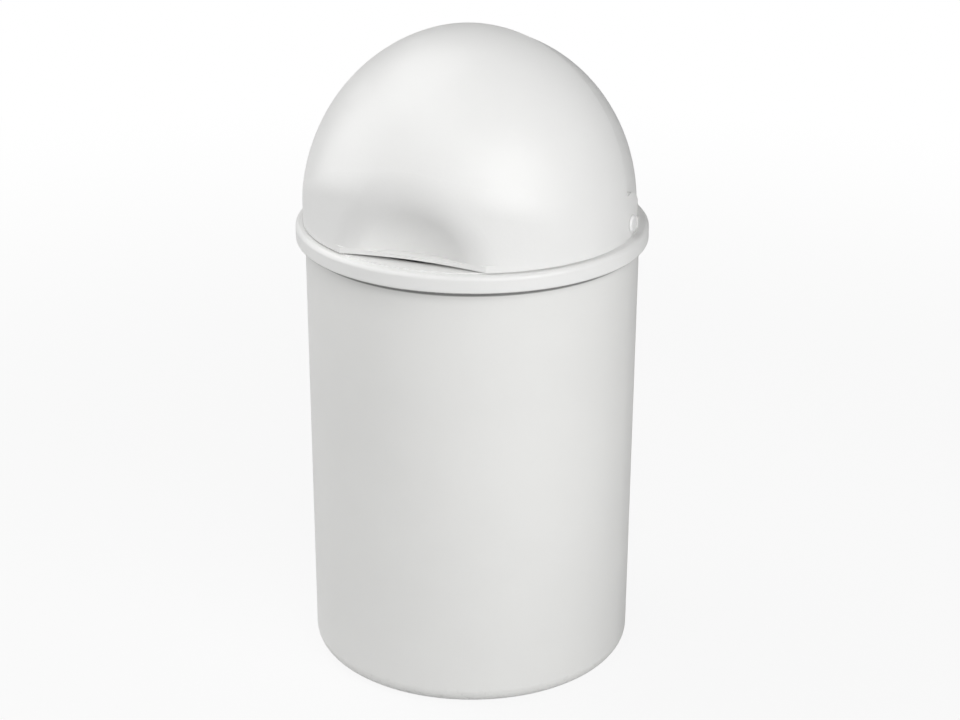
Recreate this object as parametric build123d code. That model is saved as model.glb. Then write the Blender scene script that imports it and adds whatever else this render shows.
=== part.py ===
"""Push top countertop bin: a round bin with a lift-off domed lid.

The lid is a collar that plugs into the bin, a fixed rear hood and a front flap.
Hood and flap are nested domes turned about one side-to-side axis, the pivot
axis, so the flap rolls back over the hood with an even gap. An upright round
skirt trims both domes to the circle of the collar.

Millimetres, +Z up, front at -Y, origin at the middle of the base on the
surface that the bin stands on.
"""
import os
from math import cos, radians, sin, tan

from build123d import *

# ---- bin body -------------------------------------------------------------
body_base_r = 76.4  # outside radius just above the base edge
body_top_r = 77.7  # outside radius under the rim
body_h = 213.2  # rim height, where the collar rests
body_wall = 1.8
base_thickness = 2.2
base_edge_r = 7.5  # round between side and base
foot_width = 7.0  # flat ring that the bin stands on
foot_recess = 1.5  # how far the base is dished up inside that ring
foot_corner_r = 1.0  # round at the ring's inner corner
rim_reach = 1.9  # how far the rim flange stands out from the side
rim_thickness = 1.8
rim_root_r = 1.0  # round under the flange

# ---- lid collar -----------------------------------------------------------
collar_wall = 1.6
collar_rim_gap = 0.8  # outer skirt to the bin's rim flange
collar_skirt_h = 6.2  # how far the outer skirt hangs below the rim
collar_deck = 2.0  # thickness of the flat top
collar_shoulder_r = 2.0  # round at the collar's upper outer edge
collar_lower_r = 1.4  # round at the skirt's lower outer edge
deck_border = 3.5  # deck outside the dome's skirt
step_h = 0.4  # low step that the hood stands on
step_setback = 1.1  # the step's edge inside the dome's skirt
mouth_ledge = 6.6  # deck from the hood's inside to the mouth
plug_depth = 14.0  # inner skirt, inside the bin
plug_clearance = 0.4
plug_lead_in = 0.8

# ---- nested domes of flap and hood ------------------------------------------
pivot_above_collar = 7.0
dome_tuck = 0.8  # dome inside the skirt, on the pivot axis
dome_bulge = 4.9  # dome beyond the skirt, square to the pivot axis
dome_shoulder_r = 30.0  # soft round where skirt and dome meet
flap_wall = 1.6
hood_wall = 1.6
dome_gap = 0.7  # flap inside to hood outside

# ---- front flap -------------------------------------------------------------
flap_seat_gap = 0.3  # flap edge to the collar's step
flap_travel = 60.0  # degrees from shut to open
edge_lean = 11.4  # degrees that the rear edge leans back
flap_edge_lead = 6.3  # rear edge in front of the pivot, at pivot height
ear_r = 14.0  # round pivot ear

# ---- finger scoop in the flap -----------------------------------------------
scoop_depth = 14.0  # from the skirt to the scoop's deepest place
scoop_plan_r = 70.0  # its curve seen from above
scoop_upright_r = 55.0  # its curve seen from the side
scoop_drop = 14.0  # deepest place below the pivot
scoop_blend_r = 20.0  # soft edge round the scoop
lip_half_width = 34.5
lip_setback = 8.1  # straight lip behind the front of the skirt
lip_t = 1.6
lip_arch = 1.4  # rise of the lip's underside, for a fingertip

# ---- rear hood --------------------------------------------------------------
hood_overlap = 5.0  # hood under the flap, along the front edge
hood_rib_depth = 3.0  # stiffening return inside the front edge
hood_foot_t = 1.6  # foot that lies on the collar
plinth_h = 5.0  # thicker band along the foot, behind the ears
plinth_ear_gap = 0.6
clip_count = 3
clip_spread = 56.0  # degrees between neighbouring clips
clip_width = 14.0
clip_t = 1.6
clip_clearance = 0.3  # clip to mouth edge
clip_hook = 1.2  # how far the hook reaches under the collar
clip_hook_h = 1.6
clip_hook_gap = 0.1

# ---- pivot pins ---------------------------------------------------------------
pin_r = 2.0
pin_head_r = 4.0
pin_head_t = 1.2
pin_head_round = 1.0
pin_head_gap = 0.15  # head to flap ear
pin_running_fit = 0.08  # radial, flap ear on pin
pin_tip_reach = 0.8  # tip past the boss
pin_tip_round = 0.6
pin_boss_r = 4.6  # inside the hood
pin_boss_length = 7.0

# ---- places worked out from the above ----------------------------------------
collar_r = body_top_r + rim_reach + collar_rim_gap + collar_wall
collar_top_z = body_h + collar_deck
step_z = collar_top_z + step_h
pivot_z = collar_top_z + pivot_above_collar
flap_bottom_z = step_z + flap_seat_gap
skirt_r = collar_r - deck_border
step_r = skirt_r - step_setback
dome_side = skirt_r - dome_tuck
dome_sweep = skirt_r + dome_bulge
hood_inset = flap_wall + dome_gap
mouth_r = skirt_r - hood_inset - hood_wall - mouth_ledge
clip_r = mouth_r - clip_clearance
boss_end_x = dome_side - hood_inset - hood_wall / 2
lip_y = lip_setback - skirt_r
lip_top_z = flap_bottom_z + lip_arch + lip_t
lip_arch_r = (lip_half_width**2 + lip_arch**2) / (2 * lip_arch)
beyond = 2 * dome_sweep  # reaches past the dome in every direction
hair = 0.01  # how near counts as the same place
MIN_Z = (Align.CENTER, Align.CENTER, Align.MIN)
REARWARD = (Align.CENTER, Align.MIN, Align.CENTER)


def ring(points, rounds):
    """Turn a closed outline of (radius, height) points about Z.

    rounds gives the radius for each corner that is rounded.
    """
    outline = make_face(Polyline([(r, 0, z) for r, z in points], close=True))
    for (r, z), radius in rounds.items():
        vertex = outline.vertices().sort_by_distance(Vector(r, 0, z))[0]
        outline = fillet(vertex, radius)
    return revolve(outline, Axis.Z)


def above(z):
    """Everything above a height."""
    return Pos(0, 0, z) * Box(2 * beyond, 2 * beyond, beyond, align=MIN_Z)


def side_prism(outline):
    """Extrude an outline drawn as (y, z) right across the dome."""
    return extrude(Plane.YZ * outline, amount=beyond, both=True)


def cross_rod(radius, length, middle_x=0.0):
    """Round rod along the pivot axis."""
    return Pos(middle_x, 0, pivot_z) * Cylinder(radius, length, rotation=(0, 90, 0))


def domed(inset=0.0):
    """Solid dome, inset from the flap's outside and trimmed to the round skirt."""
    side = dome_side - inset
    sweep = dome_sweep - inset
    crown = EllipticalCenterArc((0, 0), side, sweep, start_angle=0, arc_size=180)
    half = make_face(Plane.XZ * (crown + Line((-side, 0), (side, 0))))
    trimmed = revolve(half, Axis.X) & Cylinder(skirt_r - inset, 2 * beyond)
    creases = trimmed.edges().filter_by(GeomType.BSPLINE)
    return Pos(0, 0, pivot_z) * fillet(creases, dome_shoulder_r - inset)


def beside_edge(lead, reach):
    """Side view of the strip from a leaning edge to a parallel one, reach behind it.

    lead is how far in front of the pivot the edge passes. Reach is negative
    for a strip in front of the edge.
    """
    lean = beyond * tan(radians(edge_lean))
    corners = [
        (-lead - lean, pivot_z - beyond),
        (-lead + lean, pivot_z + beyond),
        (-lead + lean + reach, pivot_z + beyond),
        (-lead - lean + reach, pivot_z - beyond),
    ]
    return make_face(Polyline(corners, close=True))


def bin_body():
    """Slightly tapered bin with a rounded base edge, dished base and rim flange."""
    foot_corner = (body_base_r - base_edge_r - foot_width, 0)
    base_edge = (body_base_r, 0)
    floor_z = foot_recess + base_thickness
    floor_edge = (body_base_r - body_wall, floor_z)
    rim_root = (body_top_r, body_h - rim_thickness)
    outline = [
        (0, foot_recess),
        (foot_corner[0], foot_recess),
        foot_corner,
        base_edge,
        rim_root,
        (body_top_r + rim_reach, body_h - rim_thickness),
        (body_top_r + rim_reach, body_h),
        (body_top_r - body_wall, body_h),
        floor_edge,
        (0, floor_z),
    ]
    rounds = {
        (foot_corner[0], foot_recess): foot_corner_r,
        base_edge: base_edge_r,
        rim_root: rim_root_r,
        floor_edge: base_edge_r - body_wall,
    }
    return ring(outline, rounds)


def lid_collar():
    """Ring that rests on the bin's rim, with an outer skirt and an inner plug."""
    shoulder = (collar_r, collar_top_z)
    skirt_edge = (collar_r, body_h - collar_skirt_h)
    plug_r = body_top_r - body_wall - plug_clearance
    plug_edge = (plug_r, body_h - plug_depth)
    outline = [
        (mouth_r, body_h),
        (mouth_r, step_z),
        (step_r, step_z),
        (step_r, collar_top_z),
        shoulder,
        skirt_edge,
        (collar_r - collar_wall, body_h - collar_skirt_h),
        (collar_r - collar_wall, body_h),
        (plug_r, body_h),
        plug_edge,
        (plug_r - collar_wall, body_h - plug_depth),
        (plug_r - collar_wall, body_h),
    ]
    rounds = {
        shoulder: collar_shoulder_r,
        skirt_edge: collar_lower_r,
        plug_edge: plug_lead_in,
    }
    return ring(outline, rounds)


def scoop_tool(grow=0.0):
    """Thick puck with a round rim, lying in front of the bin, that presses the scoop in."""
    rim_r = scoop_upright_r + grow
    hub_r = scoop_plan_r - scoop_upright_r
    half_disc = Circle(rim_r) & Pos(rim_r, 0) * Rectangle(2 * rim_r, 2 * rim_r)
    core = Pos(hub_r / 2, 0) * Rectangle(hub_r, 2 * rim_r)
    outline = Plane.XZ * (Pos(hub_r, 0) * half_disc + core)
    middle_y = scoop_depth - skirt_r - scoop_plan_r
    return Pos(0, middle_y, pivot_z - scoop_drop) * revolve(outline, Axis.Z)


def scooped_dome(inset=0.0):
    """Flap's dome with the scoop pressed in and its edge softened, inset by a wall."""
    dome = domed(inset) & above(flap_bottom_z)
    tool = scoop_tool(inset)
    pressed = dome - tool
    upper_edges = pressed.edges().filter_by_position(Axis.Z, flap_bottom_z + hair, pivot_z + beyond)
    rim = [edge for edge in upper_edges if lies_on(tool, edge)]
    return fillet(rim, scoop_blend_r - inset)


def lies_on(solid, edge):
    """True if an edge lies on a solid's surface."""
    point = Vertex(*(edge @ 0.4))
    return min(face.distance_to(point) for face in solid.faces()) < hair


def lipped_dome():
    """Scooped dome with a ledge at its foot, straight in front and round like the skirt beside."""
    behind_lip = Pos(0, lip_y, pivot_z) * Box(2 * beyond, beyond, 2 * beyond, align=REARWARD)
    ledge = (domed() & behind_lip & above(flap_bottom_z)) - above(lip_top_z)
    return (scooped_dome() & above(lip_top_z)) + ledge


def finger_arch():
    """Flat arch that lifts the lip's underside off the collar."""
    middle_z = flap_bottom_z + lip_arch - lip_arch_r
    return Pos(0, 0, middle_z) * Cylinder(lip_arch_r, 2 * beyond, rotation=(90, 0, 0))


def ear_outline():
    """Side view of the pivot ear: a round lobe, cut back to clear the deck as it turns."""
    hub_r = pivot_z - flap_bottom_z
    travel = radians(flap_travel)
    far = 4 * ear_r
    over_deck = Pos(0, -hub_r) * Rectangle(far, far, align=(Align.CENTER, Align.MIN))
    over_turned_deck = Rot(0, 0, flap_travel) * over_deck
    swept = make_face(Polyline((0, 0), (0, -far), (far * sin(travel), -far * cos(travel)), close=True))
    lobe = (Circle(ear_r) & over_deck & over_turned_deck) - swept
    return Pos(0, pivot_z) * (lobe + Circle(hub_r))


def front_flap():
    """Thin shell that rolls back over the hood, with a finger scoop and a straight lip."""
    outline = beside_edge(flap_edge_lead, -2 * beyond) + ear_outline()
    shell = (lipped_dome() - scooped_dome(flap_wall)) & side_prism(outline)
    return shell - finger_arch() - cross_rod(pin_r + pin_running_fit, beyond)


def rear_hood():
    """Fixed rear shell with a foot on the collar, pivot bosses and clips through the mouth."""
    edge_lead = flap_edge_lead + hood_overlap
    inside = domed(hood_inset + hood_wall)
    behind = side_prism(beside_edge(edge_lead, 2 * beyond)) & above(step_z)
    rib_band = side_prism(beside_edge(edge_lead, hood_wall)) & above(step_z)
    shell = (domed(hood_inset) - inside) & behind
    rib = (inside - domed(hood_inset + hood_wall + hood_rib_depth)) & rib_band
    hood = shell + rib + hood_foot(inside, behind) + hood_plinth(inside)
    for clip in clips():
        hood += clip
    for side in (-1, 1):
        hood += cross_rod(pin_boss_r, pin_boss_length, side * (boss_end_x - pin_boss_length / 2))
    return hood - cross_rod(pin_r, beyond)


def hood_foot(inside, behind):
    """Flat foot that lies on the collar, from the hood's wall to the clips."""
    plate = Pos(0, 0, step_z) * Cylinder(beyond, hood_foot_t, align=MIN_Z)
    bore = Pos(0, 0, step_z) * Cylinder(clip_r - clip_t, hood_foot_t, align=MIN_Z)
    return (plate & inside & behind) - bore


def hood_plinth(inside):
    """Thicker band round the foot of the hood, out to the collar's step and clear of the ears."""
    band = Pos(0, 0, step_z) * Cylinder(step_r, plinth_h, align=MIN_Z)
    start_y = ear_r + plinth_ear_gap
    behind_ears = Pos(0, start_y, pivot_z) * Box(2 * beyond, beyond, 2 * beyond, align=REARWARD)
    return (band - inside) & behind_ears


def clips():
    """Snap clips that hang from the hood's foot and hook under the collar's mouth edge."""
    hook_top_z = body_h - clip_hook_gap
    hook_z = hook_top_z - clip_hook_h
    leg = Pos(0, 0, hook_z) * ring_sector(clip_r, step_z + hood_foot_t - hook_z)
    hook = Pos(0, 0, hook_z) * ring_sector(clip_r + clip_hook, clip_hook_h)
    for index in range(clip_count):
        turn = (index - (clip_count - 1) / 2) * clip_spread
        yield Rot(0, 0, turn) * (leg + hook)


def ring_sector(outer_r, height):
    """Short piece of ring at the rear, one clip wide, standing on Z=0 with the clips' inner radius."""
    tube = Cylinder(outer_r, height, align=MIN_Z) - Cylinder(clip_r - clip_t, height, align=MIN_Z)
    return tube & Pos(0, outer_r, 0) * Box(clip_width, outer_r, height, align=MIN_Z)


def pivot_pin(side):
    """Headed pin, pressed into the hood; the flap's ear turns on it."""
    tip_x = boss_end_x - pin_boss_length - pin_tip_reach
    head_x = dome_side + pin_head_gap
    end_x = head_x + pin_head_t
    corners = [
        (tip_x, 0),
        (tip_x, pin_r),
        (head_x, pin_r),
        (head_x, pin_head_r),
        (end_x, pin_head_r),
        (end_x, 0),
    ]
    outline = make_face(Polyline(corners, close=True))
    rim = outline.vertices().sort_by_distance(Vector(end_x, pin_head_r, 0))[0]
    outline = fillet(rim, pin_head_round)
    tip = outline.vertices().sort_by_distance(Vector(tip_x, pin_r, 0))[0]
    outline = fillet(tip, pin_tip_round)
    pin = Pos(0, 0, pivot_z) * revolve(outline, Axis.X)
    return pin if side > 0 else mirror(pin, Plane.YZ)


def main():
    os.makedirs("parts", exist_ok=True)
    nodes = {
        "bin_body": bin_body(),
        "lid_collar": lid_collar(),
        "rear_hood": rear_hood(),
        "front_flap": front_flap(),
        "pivot_pin_left": pivot_pin(-1),
        "pivot_pin_right": pivot_pin(1),
    }
    for name, shape in nodes.items():
        export_step(shape, f"parts/{name}.step")


main()
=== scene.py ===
"""Finish, light and camera for the push top countertop bin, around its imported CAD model.

Metres, +Z up, front at -Y. Every shape comes from the CAD nodes; this script
gives them their moulded plastic, and makes the floor, the lamps and the camera.
"""
from math import cos, radians, sin

import bpy
from mathutils import Matrix, Vector

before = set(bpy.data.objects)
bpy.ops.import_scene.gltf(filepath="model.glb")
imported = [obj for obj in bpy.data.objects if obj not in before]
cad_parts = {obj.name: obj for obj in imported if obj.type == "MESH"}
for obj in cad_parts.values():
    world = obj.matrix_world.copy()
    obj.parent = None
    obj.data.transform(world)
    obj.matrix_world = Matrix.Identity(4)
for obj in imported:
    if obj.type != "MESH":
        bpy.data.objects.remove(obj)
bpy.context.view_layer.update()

# ---- camera, as it stood for the photograph (960 x 720) ---------------------
camera_distance = 1.1144  # from the point at camera_pivot_height on the axis
camera_pivot_height = 0.123
camera_elevation = 22.89  # degrees
camera_azimuth = 22.0  # degrees to the right of the bin's front
camera_aim_side = 0.0038  # aim point, right of the axis
camera_aim_height = 0.1439
camera_roll = 0.20  # degrees
focal_px = 2323.3
frame_width_px = 960
sensor_width_mm = 36.0

# ---- floor, backdrop and lamps -----------------------------------------------
floor_half_side = 12.0
floor_albedo = 0.60
background_share = 0.90  # how much of the floor near the bin is plain white to the camera
shadow_reach = 0.35  # from the axis; the floor shows shadows this far out
backdrop_from = 1.0  # from the axis; the floor is as white as the world from here on
mirrored_share = 0.10  # how much of that white shows in reflections
world_level = 0.04  # even fill that lights the bin
lamp_aim_height = 0.15
lamp_distance = 1.7  # from the aim point

# ---- plastics -------------------------------------------------------------------
body_white = (0.82, 0.82, 0.805)
lid_white = (0.84, 0.84, 0.83)
pin_white = (0.85, 0.85, 0.845)
tint_shift = 0.975  # darkest cloudiness in the colour, as a share of it
cloud_scale = 14.0  # cloudiness, per metre
cloud_limits = (0.35, 0.70)  # noise levels where it starts and is full
patch_scale = 45.0  # rubbed patches, per metre
patch_limits = (0.50, 0.75)
patch_distortion = 1.2
scuff_scale = 380.0  # scuffs at the base, per metre
scuff_limits = (0.55, 0.70)
satin = 0.38  # roughness of clean plastic
rubbed = 0.50  # roughness where hands and cloths have dulled it
grain_scale = 700.0  # fine moulded grain, per metre
grain_depth = 0.00003
ripple_scale = 28.0  # slow waviness of a moulded wall, per metre
ripple_depth = 0.00012
base_scuff_height = 0.010
scuff_tone = 0.80  # share of the plastic's colour left in a scuff
painted_shade_tone = 0.30  # the same in the painted shadow line under the skirt
band_softness = 0.25  # of a band's own height, at each of its edges
skirt_shadow = (0.2048, 0.2062)  # heights of the painted shadow line on the bin, just below the skirt
painted_skirt_edge_shade = (0.2069, 0.2076)  # and of the painted shade on the skirt's own lower edge
outer_faces_from = 0.0768  # distance from the axis beyond which a wall's face is an outer one

scene = bpy.context.scene


def make_camera():
    """Camera at the photograph's place, with its focal length and slight roll."""
    a, e = radians(camera_azimuth), radians(camera_elevation)
    outward = Vector((sin(a) * cos(e), -cos(a) * cos(e), sin(e)))
    place = Vector((0, 0, camera_pivot_height)) + camera_distance * outward
    aim = Vector((camera_aim_side * cos(a), camera_aim_side * sin(a), camera_aim_height))
    forward = (aim - place).normalized()
    right = forward.cross(Vector((0, 0, 1))).normalized()
    up = right.cross(forward)
    turn = Matrix((right, up, -forward)).transposed()
    turn = turn @ Matrix.Rotation(radians(camera_roll), 3, "Z")
    data = bpy.data.cameras.new("camera")
    data.sensor_width = sensor_width_mm
    data.lens = focal_px * sensor_width_mm / frame_width_px
    camera = bpy.data.objects.new("camera", data)
    camera.matrix_world = Matrix.Translation(place) @ turn.to_4x4()
    scene.collection.objects.link(camera)
    scene.camera = camera


class Shader:
    """Node tree of one material or world, with short ways to add and join nodes."""

    def __init__(self, owner):
        owner.use_nodes = True
        self.tree = owner.node_tree
        self.tree.nodes.clear()

    def add(self, kind, **values):
        """New node; keywords set its properties or its inputs' values or links."""
        node = self.tree.nodes.new(kind)
        for key, value in values.items():
            if key not in node.inputs:
                setattr(node, key, value)
            else:
                self.put(node.inputs[key], value)
        return node

    def put(self, socket, value):
        """Link a socket if the value is a node's output, else set its value."""
        if isinstance(value, bpy.types.NodeSocket):
            self.tree.links.new(value, socket)
        else:
            socket.default_value = value

    def math(self, operation, a, b=0.0, clamp=False):
        node = self.add("ShaderNodeMath", operation=operation, use_clamp=clamp)
        self.put(node.inputs[0], a)
        self.put(node.inputs[1], b)
        return node.outputs[0]

    def ramp(self, value, low, high, to_low=0.0, to_high=1.0):
        """Smooth change from to_low to to_high as value goes from low to high."""
        node = self.add("ShaderNodeMapRange", interpolation_type="SMOOTHSTEP")
        for socket, number in zip(node.inputs, (value, low, high, to_low, to_high)):
            self.put(socket, number)
        return node.outputs[0]

    def from_axis(self, place):
        """Distance from the bin's upright axis."""
        flat = self.add("ShaderNodeVectorMath", operation="MULTIPLY")
        self.put(flat.inputs[0], place)
        self.put(flat.inputs[1], (1, 1, 0))
        reach = self.add("ShaderNodeVectorMath", operation="LENGTH")
        self.put(reach.inputs[0], flat.outputs["Vector"])
        return reach.outputs["Value"]

    def outside(self, place):
        """1 on the outer faces of the upright walls, 0 on the inner ones."""
        return self.math("GREATER_THAN", self.from_axis(place), outer_faces_from)

    def band(self, value, low, high):
        """1 between low and high, with soft ends."""
        soft = (high - low) * band_softness
        rise = self.ramp(value, low - soft, low + soft)
        fall = self.ramp(value, high - soft, high + soft, 1.0, 0.0)
        return self.math("MULTIPLY", rise, fall)

    def noise(self, place, scale, detail=2.0, distortion=0.0):
        node = self.add("ShaderNodeTexNoise", Scale=scale, Detail=detail, Distortion=distortion)
        self.put(node.inputs["Vector"], place)
        return node.outputs["Fac"]

    def mix_colour(self, share, a, b):
        node = self.add("ShaderNodeMix", data_type="RGBA")
        self.put(node.inputs["Factor"], share)
        self.put(node.inputs[6], a)
        self.put(node.inputs[7], b)
        return node.outputs[2]

    def background_seen(self):
        """1 where the camera looks straight at it, a share of that in reflections, else 0."""
        path = self.add("ShaderNodeLightPath")
        glossy, through = path.outputs["Is Glossy Ray"], path.outputs["Is Transmission Ray"]
        mirrored = self.math("MAXIMUM", glossy, through)
        mirrored = self.math("MULTIPLY", mirrored, mirrored_share)
        return self.math("MAXIMUM", path.outputs["Is Camera Ray"], mirrored)

    def bump(self, height, distance, normal=None):
        node = self.add("ShaderNodeBump", Strength=1.0, Distance=distance, Height=height)
        if normal is not None:
            self.put(node.inputs["Normal"], normal)
        return node.outputs[0]


def opaque(colour, share=1.0):
    return tuple(channel * share for channel in colour) + (1.0,)


def make_floor():
    """Pale floor that is nearly white to the camera and still takes the bin's shadow."""
    material = bpy.data.materials.new("floor_white")
    shader = Shader(material)
    place = shader.add("ShaderNodeTexCoord").outputs["Object"]
    whiteness = shader.ramp(shader.from_axis(place), shadow_reach, backdrop_from, background_share, 1.0)
    share = shader.math("MULTIPLY", shader.background_seen(), whiteness)
    diffuse = shader.add("ShaderNodeBsdfDiffuse", Color=opaque((floor_albedo,) * 3))
    white = shader.add("ShaderNodeEmission", Color=opaque((1, 1, 1)), Strength=1.0)
    mix = shader.add("ShaderNodeMixShader", Fac=share)
    shader.put(mix.inputs[1], diffuse.outputs[0])
    shader.put(mix.inputs[2], white.outputs[0])
    shader.add("ShaderNodeOutputMaterial", Surface=mix.outputs[0])
    mesh = bpy.data.meshes.new("floor")
    signs = ((-1, -1), (1, -1), (1, 1), (-1, 1))
    corners = [(x * floor_half_side, y * floor_half_side, 0) for x, y in signs]
    mesh.from_pydata(corners, [], [(0, 1, 2, 3)])
    mesh.materials.append(material)
    floor = bpy.data.objects.new("floor", mesh)
    scene.collection.objects.link(floor)


def make_world():
    """Even studio fill; to the camera it goes on where the floor ends."""
    world = bpy.data.worlds.new("studio")
    scene.world = world
    shader = Shader(world)
    fill = shader.add("ShaderNodeBackground", Color=opaque((1, 1, 1)), Strength=world_level)
    white = shader.add("ShaderNodeBackground", Color=opaque((1, 1, 1)), Strength=1.0)
    mix = shader.add("ShaderNodeMixShader", Fac=shader.background_seen())
    shader.put(mix.inputs[1], fill.outputs[0])
    shader.put(mix.inputs[2], white.outputs[0])
    shader.add("ShaderNodeOutputWorld", Surface=mix.outputs[0])


def make_softbox(name, azimuth, elevation, width, height, power):
    """Rectangular area lamp that faces the bin; azimuth is measured as the camera's is."""
    a, e = radians(azimuth), radians(elevation)
    outward = Vector((sin(a) * cos(e), -cos(a) * cos(e), sin(e)))
    data = bpy.data.lights.new(name, "AREA")
    data.shape = "RECTANGLE"
    data.size, data.size_y = width, height
    data.energy = power
    lamp = bpy.data.objects.new(name, data)
    lamp.location = Vector((0, 0, lamp_aim_height)) + lamp_distance * outward
    lamp.rotation_euler = outward.to_track_quat("Z", "Y").to_euler()
    scene.collection.objects.link(lamp)


def make_lamps():
    """Two softboxes on the left, low and high, one at the right front and one over the front."""
    make_softbox("bank_left", azimuth=-80, elevation=15, width=1.6, height=1.4, power=16)
    make_softbox("bank_left_high", azimuth=-105, elevation=58, width=1.4, height=1.2, power=10)
    make_softbox("bank_right", azimuth=53, elevation=25, width=1.4, height=1.6, power=25)
    make_softbox("box_over", azimuth=-10, elevation=58, width=1.4, height=1.2, power=6)


def moulded_plastic(name, colour, painted_shade=None):
    """Satin moulded plastic: cloudy colour, fine grain, slow ripple and rubbed patches.

    The last argument gives the lowest and highest place of a thin dark band of painted shade.
    """
    material = bpy.data.materials.new(name)
    shader = Shader(material)
    place = shader.add("ShaderNodeTexCoord").outputs["Object"]
    height = shader.add("ShaderNodeSeparateXYZ", Vector=place).outputs["Z"]
    cloud = shader.ramp(shader.noise(place, cloud_scale, detail=3.0), *cloud_limits)
    tint = shader.mix_colour(cloud, opaque(colour), opaque(colour, tint_shift))
    patch_noise = shader.noise(place, patch_scale, detail=6.0, distortion=patch_distortion)
    patches = shader.ramp(patch_noise, *patch_limits)
    near_base = shader.ramp(height, 0.0, base_scuff_height, 1.0, 0.0)
    marks = shader.ramp(shader.noise(place, scuff_scale, detail=4.0), *scuff_limits)
    scuffs = shader.math("MULTIPLY", near_base, marks)
    tint = shader.mix_colour(scuffs, tint, opaque(colour, scuff_tone))
    # Painted shade: a thin dark band where the skirt's shadow falls, on the outer faces only.
    if painted_shade:
        line = shader.math("MULTIPLY", shader.band(height, *painted_shade), shader.outside(place))
        tint = shader.mix_colour(line, tint, opaque(colour, painted_shade_tone))
    dulled = shader.math("MAXIMUM", patches, scuffs)
    gloss = shader.ramp(dulled, 0.0, 1.0, satin, rubbed)
    slow = shader.bump(shader.noise(place, ripple_scale, detail=1.0), ripple_depth)
    grain = shader.bump(shader.noise(place, grain_scale, detail=2.0), grain_depth, slow)
    surface = shader.add(
        "ShaderNodeBsdfPrincipled", **{"Base Color": tint, "Roughness": gloss, "Normal": grain}
    )
    shader.add("ShaderNodeOutputMaterial", Surface=surface.outputs[0])
    return material


def dress(material, *nodes):
    """Give CAD nodes their material."""
    for node in nodes:
        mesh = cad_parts[node].data
        mesh.materials.clear()
        mesh.materials.append(material)


make_camera()
make_floor()
make_world()
make_lamps()
# The bin and the lid each get a thin band of painted shade at the skirt's lower edge.
body_plastic = moulded_plastic("body_plastic", body_white, painted_shade=skirt_shadow)
lid_plastic = moulded_plastic("lid_plastic", lid_white, painted_shade=painted_skirt_edge_shade)
pin_plastic = moulded_plastic("pin_plastic", pin_white)
dress(body_plastic, "bin_body")
dress(lid_plastic, "lid_collar", "rear_hood", "front_flap")
dress(pin_plastic, "pivot_pin_left", "pivot_pin_right")
scene.view_settings.view_transform = "Standard"
